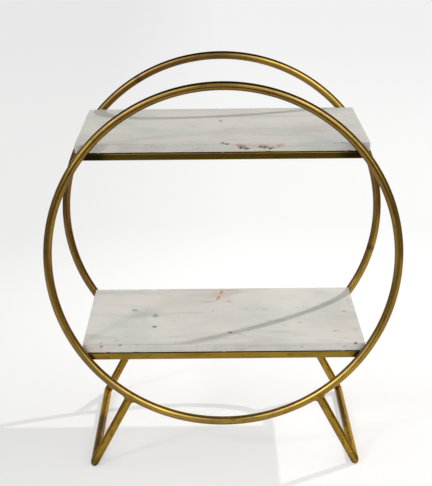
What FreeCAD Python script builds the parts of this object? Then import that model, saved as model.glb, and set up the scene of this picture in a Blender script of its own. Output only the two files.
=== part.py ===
# Tiered side table: two hoops of brass-finished tube on splayed sled legs, carrying two marble shelves.
# Millimetres. The origin is on the floor, midway between the hoops and the legs. +X is to the right,
# -Y is the front and +Z is up.

import FreeCAD
import Part
import Sketcher
import os
from FreeCAD import Vector

doc = FreeCAD.newDocument("TieredSideTable")


# Driving dimensions

sizes = doc.addObject("Spreadsheet::Sheet", "Sizes")
size_rows = [
    ("tube_diameter", "12.7", "outside of the round tube in the hoops, legs and runners"),
    ("tube_wall", "1.2", "wall of the round tube"),
    ("hoop_outer_diameter", "525", "over the outside of a hoop"),
    ("hoop_floor_clearance", "65", "floor to the lowest point of a hoop"),
    ("table_depth", "280", "front to back over both hoops"),
    ("shelf_offset", "153", "middle of a hoop to the middle of the rails above and below it"),
    ("rail_side", "10", "outside of the square tube"),
    ("rail_wall", "1", "wall of the square tube"),
    ("rail_corner_radius", "1.2", "rounded long edges of the square tube"),
    ("rail_end_reach", "4.5", "end of a long rail beyond the middle line of the hoop that crosses it"),
    ("slab_thickness", "12", "marble"),
    ("slab_corner_radius", "4", "marble corners seen from above"),
    ("slab_arris_radius", "0.8", "eased edges of the marble"),
    ("slab_hoop_clearance", "0.8", "between the marble and each hoop"),
    ("slab_overhang", "1.5", "marble beyond the rails at each end"),
    ("pad_diameter", "7", "clear bumpers under the marble"),
    ("pad_thickness", "1.2", "clear bumpers under the marble"),
    ("pad_inset", "32", "end of a rail to the middle of its last bumper"),
    ("leg_splay", "57", "how far a foot stands out from where its leg meets the hoop"),
    ("leg_hoop_angle", "33.4", "from the lowest point of a hoop to where a leg meets it, in degrees"),
    ("weld_gap", "0.2", "root gap between welded tubes"),
    ("leg_weld_size", "4", "reach of a fillet weld along its leg"),
    ("leg_weld_toe", "0.3", "thickness of that weld where it ends on the leg"),
    ("leg_weld_cap", "0.6", "the same weld over the side of the hoop"),
    ("leg_weld_root", "2", "end of that weld from the middle of the hoop's tube"),
    ("rail_weld_reach", "4", "weld between hoop and rail, to each side of the hoop's middle line"),
    ("rail_weld_throat", "1.6", "the same weld, out from the face of the rail"),
    ("cut_overrun", "2", "how far a cut runs past what it cuts"),
]
for row, (alias, number, note) in enumerate(size_rows, start=1):
    sizes.set(f"A{row}", alias)
    sizes.set(f"B{row}", number)
    sizes.setAlias(f"B{row}", alias)
    sizes.set(f"C{row}", note)
doc.recompute()

# Places and lengths that follow from the driving dimensions

layout = doc.addObject("Spreadsheet::Sheet", "Layout")
layout_rows = [
    ("tube_radius", "Sizes.tube_diameter / 2"),
    ("hoop_radius", "Sizes.hoop_outer_diameter / 2 - tube_radius"),
    ("hoop_height", "Sizes.hoop_floor_clearance + Sizes.hoop_outer_diameter / 2"),
    ("hoop_place", "Sizes.table_depth / 2 - tube_radius"),
    ("hoop_inner_face", "hoop_place - tube_radius"),
    ("rail_crossing", "sqrt(hoop_radius ^ 2 - Sizes.shelf_offset ^ 2)"),
    ("frame_length", "2 * (rail_crossing + Sizes.rail_end_reach)"),
    ("frame_depth", "2 * (hoop_inner_face - Sizes.weld_gap)"),
    ("slab_length", "frame_length + 2 * Sizes.slab_overhang"),
    ("slab_depth", "2 * (hoop_inner_face - Sizes.slab_hoop_clearance)"),
    ("rail_half", "Sizes.rail_side / 2"),
    ("rail_flat", "Sizes.rail_side - 2 * Sizes.rail_corner_radius"),
    ("upper_rail_height", "hoop_height + Sizes.shelf_offset"),
    ("lower_rail_height", "hoop_height - Sizes.shelf_offset"),
    ("foot_place", "hoop_radius * sin(Sizes.leg_hoop_angle) + Sizes.leg_splay"),
    ("leg_rise", "hoop_height - hoop_radius * cos(Sizes.leg_hoop_angle) - tube_radius"),
    ("leg_length", "sqrt(Sizes.leg_splay ^ 2 + leg_rise ^ 2)"),
    ("leg_tilt", "atan(Sizes.leg_splay / leg_rise)"),
    ("leg_to_hoop_across", "foot_place * cos(leg_tilt) - (hoop_height - tube_radius) * sin(leg_tilt)"),
    ("leg_to_hoop_along", "foot_place * sin(leg_tilt) + (hoop_height - tube_radius) * cos(leg_tilt)"),
    ("mitre_reach", "tube_radius + Sizes.cut_overrun"),
    ("leg_weld_start", "leg_length - tube_radius - Sizes.leg_weld_size"),
    ("leg_weld_height", "tube_radius + Sizes.leg_weld_size - Sizes.leg_weld_root"),
    ("leg_weld_foot", "tube_radius + Sizes.leg_weld_toe + leg_weld_height"),
    ("leg_weld_rim", "tube_radius + Sizes.leg_weld_size"),
    ("leg_weld_side", "tube_radius + Sizes.leg_weld_cap"),
]
for row, (alias, formula) in enumerate(layout_rows, start=1):
    layout.set(f"A{row}", alias)
    layout.set(f"B{row}", f"={formula}")
    layout.setAlias(f"B{row}", alias)
    doc.recompute()


# Small tools for sketches, features and placements

def value(thing, expression):
    result = thing.evalExpression(expression)
    return getattr(result, "Value", result)


def bind(thing, expressions):
    for name, expression in expressions.items():
        thing.setExpression(name, expression)


def attach(feature, body, role):
    plane = next(datum for datum in body.Origin.OriginFeatures if datum.Role == role)
    feature.AttachmentSupport = (plane, [""])
    feature.MapMode = "FlatFace"


def sketch_on(body, role):
    sketch = body.newObject("Sketcher::SketchObject", "Sketch")
    attach(sketch, body, role)
    return sketch


def dimension(sketch, kind, elements, expression):
    index = sketch.addConstraint(Sketcher.Constraint(kind, *elements, value(sketch, expression)))
    sketch.setExpression(f"Constraints[{index}]", expression)


def circle(sketch, radius, across="0", up="0"):
    centre = Vector(value(sketch, across), value(sketch, up), 0)
    edge = sketch.addGeometry(Part.Circle(centre, Vector(0, 0, 1), value(sketch, radius)))
    dimension(sketch, "DistanceX", (-1, 1, edge, 3), across)
    dimension(sketch, "DistanceY", (-1, 1, edge, 3), up)
    dimension(sketch, "Radius", (edge,), radius)


def tube_section(sketch, across="0", up="0"):
    circle(sketch, "Layout.tube_radius", across, up)
    circle(sketch, "Layout.tube_radius - Sizes.tube_wall", across, up)


def outline(sketch, corners):
    points = [Vector(value(sketch, across), value(sketch, up), 0) for across, up in corners]
    first = sketch.GeometryCount
    for index, point in enumerate(points):
        sketch.addGeometry(Part.LineSegment(point, points[(index + 1) % len(points)]))
    for index, (across, up) in enumerate(corners):
        line = first + index
        line_before = first + (index - 1) % len(corners)
        sketch.addConstraint(Sketcher.Constraint("Coincident", line_before, 2, line, 1))
        dimension(sketch, "DistanceX", (-1, 1, line, 1), across)
        dimension(sketch, "DistanceY", (-1, 1, line, 1), up)


def rectangle(sketch, width, height):
    left, right = f"-({width}) / 2", f"({width}) / 2"
    bottom, top = f"-({height}) / 2", f"({height}) / 2"
    outline(sketch, [(left, bottom), (right, bottom), (right, top), (left, top)])


def pad(body, sketch, length, both_ways=False):
    feature = body.newObject("PartDesign::Pad", "Pad")
    feature.Profile = sketch
    feature.SideType = "Symmetric" if both_ways else "One side"
    feature.setExpression("Length", length)
    doc.recompute()
    return feature


def cut_through(body, sketch):
    volume_before = body.Shape.Volume
    feature = body.newObject("PartDesign::Pocket", "Pocket")
    feature.Profile = sketch
    feature.SideType = "Symmetric"
    feature.Type = "ThroughAll"
    doc.recompute()
    if not body.Shape.Volume < volume_before:
        raise RuntimeError(f"{body.Label}: a cut removed nothing")


def round_edges(body, feature, chosen, radius):
    names = [f"Edge{number}" for number, edge in enumerate(feature.Shape.Edges, start=1) if chosen(edge)]
    rounding = body.newObject("PartDesign::Fillet", "Fillet")
    rounding.Base = (feature, names)
    rounding.setExpression("Radius", radius)
    doc.recompute()
    return rounding


def new_body(label, placement):
    body = doc.addObject("PartDesign::Body", label)
    body.Label = label
    body.setExpression("Placement", placement)
    return body


def primitive(kind, placement, expressions):
    thing = doc.addObject(f"Part::{kind}", kind)
    bind(thing, {**expressions, "Placement": placement})
    return thing


def boolean(kind, base, tool):
    thing = doc.addObject(f"Part::{kind}", kind)
    thing.Base = base
    thing.Tool = tool
    return thing


def group(label, solids):
    thing = doc.addObject("Part::Compound", label)
    thing.Label = label
    thing.Links = solids
    return thing


def place(across="0", along="0", up="0", axis="0; 0; 1", turn="0"):
    return f"placement(vector({across}; {along}; {up}); rotation(vector({axis}); {turn}))"


def signed(sign, expression):
    return f"({expression})" if sign > 0 else f"-({expression})"


sides = {"left": -1, "right": 1}
ends = {"front": -1, "rear": 1}
shelves = ("upper", "lower")
sub_parts = []


# Hoops: a tube section turned about the front-to-back axis

def hoop(label, end):
    body = new_body(label, place(along=signed(end, "Layout.hoop_place"), up="Layout.hoop_height"))
    section = sketch_on(body, "YZ_Plane")
    tube_section(section, up="Layout.hoop_radius")
    ring = body.newObject("PartDesign::Revolution", "Revolution")
    ring.Profile = section
    ring.ReferenceAxis = (section, ["H_Axis"])
    ring.Angle = 360
    return body


for end_name, end in ends.items():
    sub_parts.append(hoop(f"{end_name}_hoop", end))


# Shelf rails: square tube, mitred at both ends, with its outer face towards local -Y

def rail(label, length, placement):
    body = new_body(label, placement)
    section = sketch_on(body, "YZ_Plane")
    rectangle(section, "Sizes.rail_side", "Sizes.rail_side")
    rectangle(section, "Sizes.rail_side - 2 * Sizes.rail_wall", "Sizes.rail_side - 2 * Sizes.rail_wall")
    bar = pad(body, section, length, both_ways=True)
    bore_half = value(body, "Layout.rail_half - Sizes.rail_wall")
    outermost = value(body, "Layout.rail_half - Sizes.rail_wall / 2")

    def outer_long_edge(edge):
        middle = edge.CenterOfMass
        return abs(middle.x) < bore_half and min(abs(middle.y), abs(middle.z)) > outermost

    round_edges(body, bar, outer_long_edge, "Sizes.rail_corner_radius")
    mitres = sketch_on(body, "XY_Plane")
    outer = "Layout.rail_half + Sizes.cut_overrun"
    for side in sides.values():
        tip = signed(side, f"({length}) / 2 + Sizes.cut_overrun")
        heel = signed(side, f"({length}) / 2 - Sizes.rail_side - Sizes.cut_overrun")
        outline(mitres, [(tip, f"-({outer})"), (tip, outer), (heel, outer)])
    cut_through(body, mitres)
    return body


def shelf_frame(shelf):
    height = f"Layout.{shelf}_rail_height"
    for end_name, end in ends.items():
        along = signed(end, "Layout.frame_depth / 2 - Layout.rail_half")
        placement = place(along=along, up=height, turn="0" if end < 0 else "180")
        sub_parts.append(rail(f"{shelf}_{end_name}_rail", "Layout.frame_length", placement))
    for side_name, side in sides.items():
        across = signed(side, "Layout.frame_length / 2 - Layout.rail_half")
        placement = place(across=across, up=height, turn="270" if side < 0 else "90")
        sub_parts.append(rail(f"{shelf}_{side_name}_rail", "Layout.frame_depth", placement))


# Marble slabs, with rounded corners and eased edges

def slab(shelf):
    seat = f"Layout.{shelf}_rail_height + Layout.rail_half + Sizes.pad_thickness"
    body = new_body(f"{shelf}_marble_slab", place(up=seat))
    plan = sketch_on(body, "XY_Plane")
    rectangle(plan, "Layout.slab_length", "Layout.slab_depth")
    stone = pad(body, plan, "Sizes.slab_thickness")
    half_thickness = value(body, "Sizes.slab_thickness / 2")

    def upright(edge):
        return edge.BoundBox.ZLength > half_thickness

    stone = round_edges(body, stone, upright, "Sizes.slab_corner_radius")
    round_edges(body, stone, lambda edge: not upright(edge), "Sizes.slab_arris_radius")
    return body


# Clear bumpers between stone and rail: three along each long rail

def slab_pads(shelf):
    seat = f"Layout.{shelf}_rail_height + Layout.rail_half"
    discs = []
    for end in ends.values():
        along = signed(end, "Layout.frame_depth / 2 - Layout.rail_half")
        for across_share in (-1, 0, 1):
            across = f"{across_share} * (Layout.frame_length / 2 - Sizes.pad_inset)"
            disc_sizes = {"Radius": "Sizes.pad_diameter / 2", "Height": "Sizes.pad_thickness"}
            discs.append(primitive("Cylinder", place(across, along, seat), disc_sizes))
    return group(f"{shelf}_slab_pads", discs)


for shelf in shelves:
    shelf_frame(shelf)
    sub_parts.append(slab(shelf))
    sub_parts.append(slab_pads(shelf))


# Legs and runners share a local frame: its origin is the corner at the floor and +Z runs up the leg

def foot_frame(side, along):
    across = signed(side, "Layout.foot_place")
    return place(across, along, "Layout.tube_radius", f"0; {-side}; 0", "Layout.leg_tilt")


def leg(label, side, end):
    body = new_body(label, foot_frame(side, signed(end, "Layout.hoop_place")))
    section = sketch_on(body, "XY_Plane")
    section.setExpression("AttachmentOffset.Base.z", "-Layout.tube_radius")
    tube_section(section)
    pad(body, section, "Layout.leg_length + Layout.tube_radius")
    outward = signed(end, "Layout.mitre_reach")
    inward = signed(-end, "Layout.mitre_reach")
    low, high = "-Layout.mitre_reach", "Layout.mitre_reach"
    mitre = sketch_on(body, "YZ_Plane")
    outline(mitre, [(outward, low), (inward, high), (inward, low)])
    cut_through(body, mitre)
    cope = body.newObject("PartDesign::SubtractiveTorus", "Cope")
    attach(cope, body, "XZ_Plane")
    bind(cope, {
        "Radius1": "Layout.hoop_radius",
        "Radius2": "Layout.tube_radius + Sizes.weld_gap",
        "AttachmentOffset.Base.x": signed(-side, "Layout.leg_to_hoop_across"),
        "AttachmentOffset.Base.y": "Layout.leg_to_hoop_along",
    })
    return body


def runner(label, side):
    body = new_body(label, foot_frame(side, "0"))
    section = sketch_on(body, "XZ_Plane")
    tube_section(section)
    pad(body, section, "2 * (Layout.hoop_place + Layout.tube_radius)", both_ways=True)
    low, high = "-Layout.mitre_reach", "Layout.mitre_reach"
    mitres = sketch_on(body, "YZ_Plane")
    for end in ends.values():
        far = signed(end, "Layout.hoop_place + Layout.mitre_reach")
        near = signed(end, "Layout.hoop_place - Layout.mitre_reach")
        outline(mitres, [(far, low), (near, high), (far, high)])
    cut_through(body, mitres)
    return body


for side_name, side in sides.items():
    for end_name, end in ends.items():
        sub_parts.append(leg(f"{side_name}_{end_name}_leg", side, end))
    sub_parts.append(runner(f"{side_name}_floor_runner", side))


# Weld beads: the solid outside of each hoop cuts them to its shape

def hoop_outside(end):
    along = signed(end, "Layout.hoop_place")
    placement = place(along=along, up="Layout.hoop_height", axis="1; 0; 0", turn="90")
    return primitive("Torus", placement, {"Radius1": "Layout.hoop_radius", "Radius2": "Layout.tube_radius"})


hoop_outsides = {end: hoop_outside(end) for end in ends.values()}


# A fillet round the top of each leg: a cone about the leg, flattened over the sides of the hoop

def leg_weld(side, end):
    corner = foot_frame(side, signed(end, "Layout.hoop_place"))
    cone = primitive("Cone", f"{corner} * {place(up='Layout.leg_weld_start')}", {
        "Radius1": "Layout.tube_radius + Sizes.leg_weld_toe",
        "Radius2": "Layout.leg_weld_foot",
        "Height": "Layout.leg_weld_height",
    })
    slice_corner = place("-Layout.leg_weld_rim", "-Layout.leg_weld_side", "Layout.leg_weld_start")
    side_slice = primitive("Box", f"{corner} * {slice_corner}", {
        "Length": "2 * Layout.leg_weld_rim",
        "Width": "2 * Layout.leg_weld_side",
        "Height": "Layout.leg_weld_height",
    })
    rim = primitive("Cylinder", corner, {"Radius": "Layout.leg_weld_rim", "Height": "Layout.leg_length"})
    core = primitive("Cylinder", corner, {"Radius": "Layout.tube_radius", "Height": "Layout.leg_length"})
    bead = boolean("Common", boolean("Common", cone, rim), side_slice)
    return boolean("Cut", boolean("Cut", bead, core), hoop_outsides[end])


# Flare welds between a hoop and the flat face of a rail: a ring plate, clipped to the end of each rail

def weld_ring(end):
    along = signed(end, "Layout.frame_depth / 2")
    placement = place(along=along, up="Layout.hoop_height", axis=f"{-end}; 0; 0", turn="90")
    discs = []
    for side in ("+", "-"):
        disc_sizes = {
            "Radius": f"Layout.hoop_radius {side} Sizes.rail_weld_reach",
            "Height": "Sizes.rail_weld_throat",
        }
        discs.append(primitive("Cylinder", placement, disc_sizes))
    return boolean("Cut", boolean("Cut", *discs), hoop_outsides[end])


weld_rings = {end: weld_ring(end) for end in ends.values()}


def rail_weld(shelf, side, end):
    across = "0" if side > 0 else "-Layout.frame_length / 2"
    along = "Layout.frame_depth / 2" if end > 0 else "-Layout.frame_depth / 2 - Sizes.rail_weld_throat"
    up = f"Layout.{shelf}_rail_height - Layout.rail_flat / 2"
    rail_end = primitive("Box", place(across, along, up), {
        "Length": "Layout.frame_length / 2",
        "Width": "Sizes.rail_weld_throat",
        "Height": "Layout.rail_flat",
    })
    return boolean("Common", weld_rings[end], rail_end)


corners = [(side, end) for side in sides.values() for end in ends.values()]
sub_parts.append(group("leg_weld_beads", [leg_weld(side, end) for side, end in corners]))
for shelf in shelves:
    beads = [rail_weld(shelf, side, end) for side, end in corners]
    sub_parts.append(group(f"{shelf}_rail_weld_beads", beads))


# Every object has to be sound before anything is written

doc.recompute()
for thing in doc.Objects:
    if {"Invalid", "Error"} & set(thing.State):
        raise RuntimeError(f"{thing.Label}: {thing.State}")
for sub_part in sub_parts:
    shape = sub_part.Shape
    if shape.isNull() or not shape.isValid() or not shape.Solids:
        raise RuntimeError(f"{sub_part.Label}: no sound shape")

os.makedirs("parts", exist_ok=True)
for sub_part in sub_parts:
    shape = sub_part.Shape
    shape.exportStep(f"parts/{sub_part.Label}.step")
    print(f"{sub_part.Label}: {len(shape.Solids)} solid(s), {shape.Volume:.0f} mm3")
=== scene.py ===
import math
import random

import bmesh
import bpy
from mathutils import Matrix, Vector, noise


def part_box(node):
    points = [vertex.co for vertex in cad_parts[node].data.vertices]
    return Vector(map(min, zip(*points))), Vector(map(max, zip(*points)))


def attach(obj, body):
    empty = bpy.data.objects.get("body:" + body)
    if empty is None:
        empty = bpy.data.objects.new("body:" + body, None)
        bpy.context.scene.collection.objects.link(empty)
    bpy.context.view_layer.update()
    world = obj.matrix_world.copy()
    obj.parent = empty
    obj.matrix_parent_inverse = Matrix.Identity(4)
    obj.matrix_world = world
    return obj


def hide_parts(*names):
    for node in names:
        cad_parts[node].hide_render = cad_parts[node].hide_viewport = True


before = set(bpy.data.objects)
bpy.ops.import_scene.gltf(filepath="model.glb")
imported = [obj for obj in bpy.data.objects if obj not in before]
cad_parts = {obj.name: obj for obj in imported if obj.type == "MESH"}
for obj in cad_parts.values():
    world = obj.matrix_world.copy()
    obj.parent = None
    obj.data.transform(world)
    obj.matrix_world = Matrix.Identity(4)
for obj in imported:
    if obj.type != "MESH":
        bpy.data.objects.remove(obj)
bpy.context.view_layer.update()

scene = bpy.context.scene
scene.view_settings.view_transform = "Standard"
mm = 0.001
fullTurn = 2 * math.pi
tiny = 1e-6  # m, below this two places are the same


def linear(hexCode):  # sRGB hex to the linear colour that nodes take
    parts = [int(hexCode[i:i + 2], 16) / 255 for i in (0, 2, 4)]
    return tuple(c / 12.92 if c <= 0.04045 else ((c + 0.055) / 1.055) ** 2.4 for c in parts) + (1.0,)


def plug(tree, node, inputs):  # a socket is linked, a plain value is set
    for socket, value in inputs.items():
        if isinstance(value, bpy.types.NodeSocket):
            tree.links.new(value, node.inputs[socket])
        else:
            node.inputs[socket].default_value = value


def addNode(tree, kind, inputs=None, stops=None, **settings):
    node = tree.nodes.new(kind)
    for name, value in settings.items():
        setattr(node, name, value)
    plug(tree, node, inputs or {})
    if stops:
        elements = node.color_ramp.elements
        elements.remove(elements[1])
        elements[0].position, elements[0].color = stops[0]
        for place, colour in stops[1:]:
            elements.new(place).color = colour
    return node


def newMaterial(name):
    material = bpy.data.materials.new(name)
    material.use_nodes = True
    tree = material.node_tree
    tree.nodes.clear()
    shader = addNode(tree, "ShaderNodeBsdfPrincipled")
    addNode(tree, "ShaderNodeOutputMaterial", {"Surface": shader.outputs["BSDF"]})
    return material, tree, shader


mostOfNoise = (0.3, 0.7)  # nearly all of a noise lies between these


def addNoise(tree, place, sizes, detail=2.0, roughness=0.5, distortion=0.0,
             shift=(0, 0, 0), turn=0, output="Fac"):
    # sizes in mm: one number for an even noise, three for one drawn out along the axes
    scale = 1.0
    if isinstance(sizes, tuple):
        place = addNode(tree, "ShaderNodeMapping", {
            "Vector": place, "Location": shift, "Rotation": (0, 0, math.radians(turn)),
            "Scale": [1 / (size * mm) for size in sizes]}).outputs["Vector"]
    else:
        scale = 1 / (sizes * mm)
    return addNode(tree, "ShaderNodeTexNoise", {
        "Vector": place, "Scale": scale, "Detail": detail, "Roughness": roughness,
        "Distortion": distortion}).outputs[output]


def spread(tree, value, start, end, low=0.0, high=1.0):  # start to end becomes low to high
    return addNode(tree, "ShaderNodeMapRange", {
        "Value": value, "From Min": start, "From Max": end, "To Min": low, "To Max": high}).outputs[0]


def blend(tree, amount, first, second):
    return addNode(tree, "ShaderNodeMix", {0: amount, 6: first, 7: second}, data_type="RGBA").outputs[2]


def tinted(tree, colour, amount):
    return addNode(tree, "ShaderNodeVectorMath", {0: colour, 1: amount}, operation="MULTIPLY").outputs[0]


def reckon(tree, operation, first, second):
    return addNode(tree, "ShaderNodeMath", {0: first, 1: second}, operation=operation).outputs[0]


# Antique brass: steel tube, brass plated, hand brushed along its length, toned brown and lacquered.
# To the eye: a warm olive gold with soft bands of light and darker clouds, brown beside the welds that is
# partly tint and partly painted shade, and on the hoops painted highlight and shade.
tubeBrass = {
    "gold": "91711A", "toned": "70500F", "tarnish": "362007", "edge": "B48E44",
    "cloudSize": 34, "cloudLength": 90,  # mm, soft clouds of toning
    "brushWidth": 1.4, "brushLength": 60,  # mm, coarser than the real 0.2 mm brushing so that it shows
    "brushDepth": 0.012, "brushStrength": 0.5,
    "fleckSize": 5, "fleckStretch": 3, "fleck": "4A2C0A", "fleckAmount": 0.6,  # mm, brown flecks
    "roughness": (0.14, 0.25), "lacquer": 0.5, "lacquerRoughness": 0.1,
    "paintedLightTint": (1.0, 1.25, 2.7),  # red, green and blue: where light is painted on, the gold turns paler, a painted highlight that takes the most blue
    # where in its noise each effect starts and where it is full
    "tonedFrom": (0.78, 1.22), "roughFrom": (0.7, 1.3), "fleckFrom": (0.56, 0.72),
    "stainAndShadeFrom": (0.12, 0.5), "stainAndShadeAmount": 0.85,
}
# painted reflection: the legs, and the runners made from them below, get a brighter copy of the tube's gold,
# for the bright floor close in front that they reflect
legBrass = dict(tubeBrass, gold="A8842C", toned="866618", tarnish="3A280A", edge="D8B468", lacquer=0.2,
                fleckSize=4, fleckAmount=0.9)
# the runners are scuffed by the floor, so they are paler when seen along it
runnerBrass = dict(legBrass, tarnish="36260B", edge="E2CA90")
railBrass = dict(tubeBrass, gold="997A28", toned="745A18", tarnish="201503", lacquer=0.2,
                 roughness=(0.13, 0.24), cloudSize=30, cloudLength=110, brushWidth=1.2, brushLength=70,
                 fleckSize=6, fleck="4A300E", fleckAmount=0.5)


def makeBrass(name, look):
    material, tree, shader = newMaterial(name)
    place = addNode(tree, "ShaderNodeAttribute", attribute_name="tubePlace").outputs["Vector"]
    joint = addNode(tree, "ShaderNodeAttribute", attribute_name="jointShade").outputs["Fac"]
    paintedLight = addNode(tree, "ShaderNodeAttribute", attribute_name="paintedLight").outputs["Fac"]
    cloudSizes = (look["cloudLength"], look["cloudSize"], look["cloudSize"])
    cloud = addNoise(tree, place, cloudSizes, detail=4.0, roughness=0.62, distortion=0.4)
    brushSizes = (look["brushLength"], look["brushWidth"], look["brushWidth"])
    brush = addNoise(tree, place, brushSizes, detail=3.0, roughness=0.6)
    tone = reckon(tree, "ADD", cloud, brush)
    body = blend(tree, spread(tree, tone, *look["tonedFrom"]), linear(look["gold"]), linear(look["toned"]))
    # painted highlight and shade: the gold made paler or darker where the hoops' reflections look brighter or
    # dimmer
    paler = addNode(tree, "ShaderNodeVectorMath", {
        0: paintedLight, 1: look["paintedLightTint"], 2: (1.0, 1.0, 1.0)}, operation="MULTIPLY_ADD").outputs[0]
    body = tinted(tree, body, paler)
    fleckSizes = (look["fleckStretch"] * look["fleckSize"], look["fleckSize"], look["fleckSize"])
    fleck = addNoise(tree, place, fleckSizes, detail=3.0, roughness=0.65)
    fleck = spread(tree, fleck, *look["fleckFrom"], 0.0, look["fleckAmount"])
    body = blend(tree, fleck, body, linear(look["fleck"]))
    # brown where the parts meet: partly tint by the welds, partly painted shade in the joints
    stainAndShade = reckon(tree, "MULTIPLY", joint, cloud)
    stainAndShade = spread(tree, stainAndShade, *look["stainAndShadeFrom"], 0.0, look["stainAndShadeAmount"])
    bump = addNode(tree, "ShaderNodeBump", {
        "Strength": look["brushStrength"], "Distance": look["brushDepth"] * mm, "Height": brush})
    plug(tree, shader, {
        "Base Color": blend(tree, stainAndShade, body, linear(look["tarnish"])), "Metallic": 1.0,
        "Roughness": spread(tree, tone, *look["roughFrom"], *look["roughness"]),
        "Specular Tint": linear(look["edge"]),
        "Coat Weight": look["lacquer"], "Coat Roughness": look["lacquerRoughness"],
        "Normal": bump.outputs["Normal"]})
    return material


# Ground weld under the same plating: duller and browner than the tube, with faint ripples left by the torch.
weldBrass = {"gold": "9A7A2A", "tarnish": "66501C", "roughness": 0.32,
             "cloudSize": 7, "rippleSize": 1.6, "rippleDepth": 0.2, "rippleStrength": 0.5}  # mm


def makeWeld(name, look):
    material, tree, shader = newMaterial(name)
    place = addNode(tree, "ShaderNodeTexCoord").outputs["Object"]
    cloud = spread(tree, addNoise(tree, place, look["cloudSize"], detail=3.0), *mostOfNoise)
    ripple = addNoise(tree, place, look["rippleSize"])
    bump = addNode(tree, "ShaderNodeBump", {
        "Strength": look["rippleStrength"], "Distance": look["rippleDepth"] * mm, "Height": ripple})
    plug(tree, shader, {
        "Base Color": blend(tree, cloud, linear(look["tarnish"]), linear(look["gold"])), "Metallic": 1.0,
        "Roughness": look["roughness"], "Normal": bump.outputs["Normal"]})
    return material


# Honed marble: sawn slab rubbed to a satin face. To the eye: pale warm grey with faint streaks along
# the slab, blue-grey smudges, rust where iron has weathered, small dark pits, and on the upper slab two
# painted soft shadows of the front hoop.
# A mark is (kind, middle, size, turn, strength): x, y and depth under the face, then length, width and depth
# in mm, then degrees.
upperMarble = {
    "pale": "C5C1B8", "grey": "AFACA4", "warm": "CCBDAC", "cool": "B3B6B0",
    "shift": (0.0, 0.0, 0.0), "streakLength": 170, "streakWidth": 46, "streakTurn": -7,
    "sideSawnAndLit": 1.13,  # the sawn sides against the honed face: partly paler sawn stone, partly painted light on the side faces
    "marks": [
        ("smudgeAndShadow", (-1, 29, 0), (9, 22, 3), 0, 1.0), ("smudgeAndShadow", (96, 1, 0), (8, 12, 3), 0, 0.6),
        ("smudgeAndShadow", (89, -106, 0), (13, 8, 3), 0, 0.6), ("smudgeAndShadow", (-44, -112, 0), (17, 7, 3), -4, 0.6),
        ("smudgeAndShadow", (173, -125, 0), (20, 8, 4), 0, 0.7), ("smudgeAndShadow", (-120, 40, 0), (60, 14, 3), -6, 0.4),
        # the two long diagonal marks on this line are painted soft shadows of the front hoop
        ("smudgeAndShadow", (-112, -84, 0), (130, 12, 3), 26, 0.3), ("smudgeAndShadow", (118, -67, 0), (140, 12, 3), -43, 0.34),
        ("rust", (13, -26, 0), (34, 9, 3), 0, 0.5), ("rust", (25, -126, 2.5), (28, 9, 5), 0, 0.8),
        ("rust", (58, -126, 4), (32, 7, 7), 0, 0.72), ("rust", (82, -126, 3.4), (18, 9, 8), 0, 0.62),
        ("rust", (45, -126, 3.5), (84, 12, 11), 0, 0.22), ("rust", (12, -26, 0), (70, 40, 3), -10, 0.16),
        ("rust", (140, -20, 0), (110, 120, 3), 20, 0.12),
        ("pit", (0, -122, 0), (10, 13, 4), -20, 1.0), ("pit", (26, -126.5, 6), (7, 5, 5), 0, 1.0),
        ("pit", (6, -126, 0.6), (9, 7, 3), 0, 1.0),
        ("pit", (34, -126.5, 7.2), (12, 5, 5), 0, 0.85), ("pit", (54, -126.5, 5.2), (9, 5, 4), 0, 0.85),
        ("pit", (30, -126.5, 4.8), (12, 5, 3), 0, 0.7), ("pit", (72, -126.5, 6.4), (10, 5, 3), 0, 0.7),
        ("pit", (61, -126.5, 5.8), (16, 5, 5), 0, 0.8), ("pit", (68, -126.5, 7.6), (8, 5, 4.5), 0, 1.0),
    ],
}
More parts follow.
